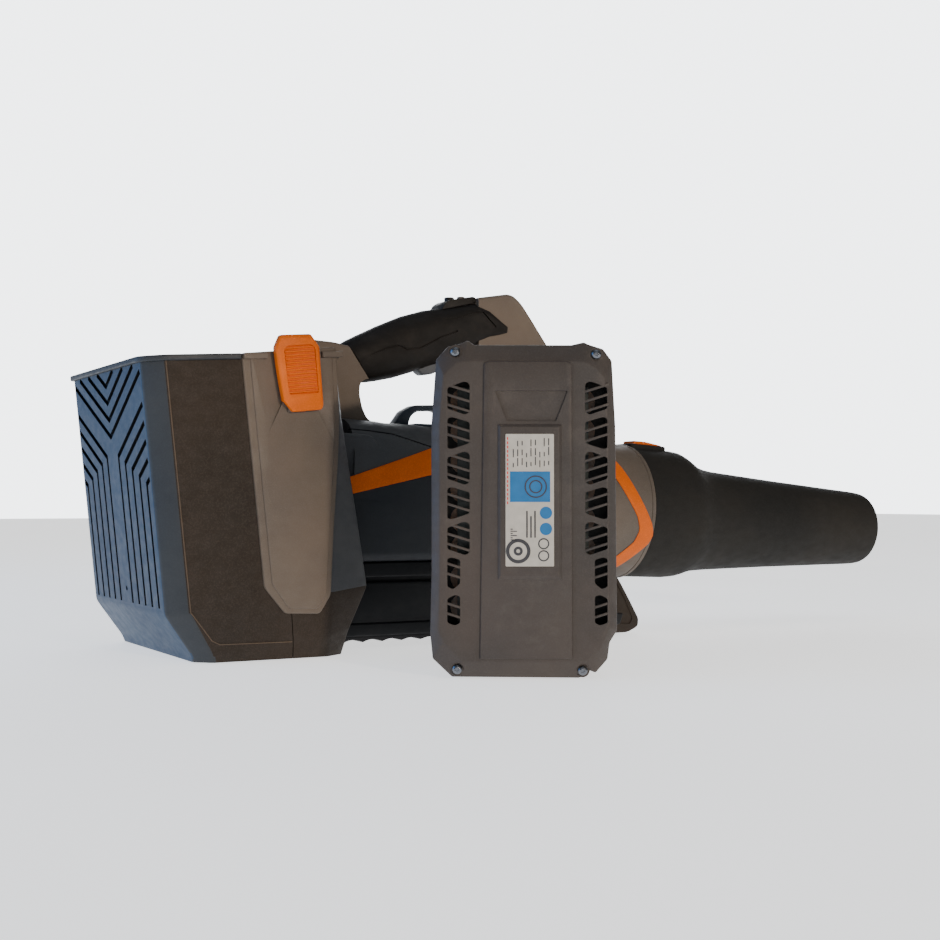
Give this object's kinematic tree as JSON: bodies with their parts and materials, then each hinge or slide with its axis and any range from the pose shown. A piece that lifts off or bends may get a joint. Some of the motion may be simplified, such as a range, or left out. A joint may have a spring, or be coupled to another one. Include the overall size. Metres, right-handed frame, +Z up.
{
  "type": "cordless leaf blower",
  "caption": "Cordless axial leaf blower with a deep rear battery bay, arched grip, tapering nozzle and its battery pack lifted out beside it.",
  "frame": {"origin": "middle of the battery bay's flat underside, on the floor", "axes": "+X along the machine towards the nozzle, +Z up, +Y to the user's left"},
  "size_m": [0.8655, 0.5051, 0.337],
  "materials": {
    "orange_plastic": "satin",
    "warm_grey_plastic": "fine texture",
    "bay_rear_plastic": "fine texture",
    "bay_side_plastic": "leather texture",
    "black_plastic": "satin",
    "grip_rubber": "soft touch",
    "pack_plastic": "fine texture",
    "steel": "bright",
    "motor_metal": "machined",
    "copper_winding": "enamelled",
    "cell_wrap": "shrink wrapped",
    "circuit_board": "lacquered",
    "label_film": "printed film",
    "seal_rubber": "plain"
  },
  "bodies": {
    "blower": {"housing_left": "warm_grey_plastic", "housing_right": "warm_grey_plastic", "housing_screws": "steel", "stripe_left": "orange_plastic", "stripe_right": "orange_plastic", "outlet_collar": "warm_grey_plastic", "fan_duct": "black_plastic", "guide_vanes": "black_plastic", "motor_housing": "motor_metal", "motor_stator": "copper_winding", "bearing_front": "steel", "bearing_rear": "steel", "tail_cone": "black_plastic", "intake_screen": "black_plastic", "base_skid": "black_plastic", "ribbed_sole": "black_plastic", "front_foot": "black_plastic", "controller_board": "circuit_board", "controller_heatsink": "motor_metal", "power_cable": "seal_rubber", "grip_rubber": "grip_rubber", "control_panel": "black_plastic", "trigger_pin": "steel", "trigger_spring": "steel", "trigger_switch": "black_plastic", "strap_ring": "black_plastic", "bay_rear_shell": "bay_rear_plastic", "bay_front_shell": "bay_side_plastic", "bay_rim": "bay_rear_plastic", "side_arm_left": "warm_grey_plastic", "side_arm_right": "warm_grey_plastic", "latch_pins": "steel", "latch_springs": "steel", "bay_rails": "black_plastic", "bay_connector": "black_plastic", "bay_screws": "steel"},
    "trigger": {"trigger": "black_plastic"},
    "power_button": {"power_button": "orange_plastic"},
    "boost_button": {"boost_button": "black_plastic"},
    "latch_left": {"latch_left": "orange_plastic"},
    "latch_right": {"latch_right": "orange_plastic"},
    "rotor": {"motor_rotor": "motor_metal", "motor_shaft": "steel", "impeller": "black_plastic", "impeller_nut": "steel"},
    "nozzle": {"nozzle": "black_plastic", "nozzle_seal": "seal_rubber", "lock_spring": "steel", "lock_screw": "steel"},
    "nozzle_lock": {"nozzle_lock_button": "orange_plastic"},
    "pack": {"pack_shell": "pack_plastic", "pack_cover": "pack_plastic", "pack_gasket": "seal_rubber", "pack_screws": "steel", "pack_label": "label_film", "pack_cells": "cell_wrap", "cell_holders": "black_plastic", "pack_board": "circuit_board", "pack_socket": "black_plastic"}
  },
  "joints": [
    {"name": "trigger_pull", "type": "hinge", "parent": "blower", "child": "trigger", "pos_m": [0.244, 0, 0.286], "axis": [0, 1, 0], "range_deg": [0, 10], "stiffness_Nm_per_rad": 0.3, "springref_deg": -5.73, "deforming": ["trigger_spring"]},
    {"name": "power_press", "type": "slide", "parent": "blower", "child": "power_button", "axis": [0, 0, -1], "range_m": [0, 0.002], "stiffness_N_per_m": 200, "springref_m": -0.001},
    {"name": "boost_press", "type": "slide", "parent": "blower", "child": "boost_button", "axis": [0, 0, -1], "range_m": [0, 0.002], "stiffness_N_per_m": 200, "springref_m": -0.001},
    {"name": "latch_left_open", "type": "hinge", "parent": "blower", "child": "latch_left", "pos_m": [0.02097, 0.1292, 0.21185], "axis": [-0.9945, 0, -0.1045], "range_deg": [0, 40], "stiffness_Nm_per_rad": 0.4, "springref_deg": -11.46},
    {"name": "latch_right_open", "type": "hinge", "parent": "blower", "child": "latch_right", "pos_m": [0.02097, -0.1292, 0.21185], "axis": [0.9945, 0, 0.1045], "range_deg": [0, 40], "stiffness_Nm_per_rad": 0.4, "springref_deg": -11.46},
    {"name": "fan_spin", "type": "hinge", "parent": "blower", "child": "rotor", "pos_m": [0.443, 0, 0.121], "axis": [0.9982, 0, -0.0593], "continuous": true},
    {"name": "nozzle_pull", "type": "slide", "parent": "blower", "child": "nozzle", "axis": [0.9982, 0, -0.0593], "range_m": [0, 0.06]},
    {"name": "nozzle_lock_press", "type": "slide", "parent": "nozzle", "child": "nozzle_lock", "axis": [-0.0593, 0, -0.9982], "range_m": [0, 0.0015], "stiffness_N_per_m": 300, "springref_m": -0.001},
    {"name": "pack_lift", "type": "slide", "parent": "blower", "child": "pack", "axis": [0, 0, 1], "range_m": [0, 0.25]}
  ]
}
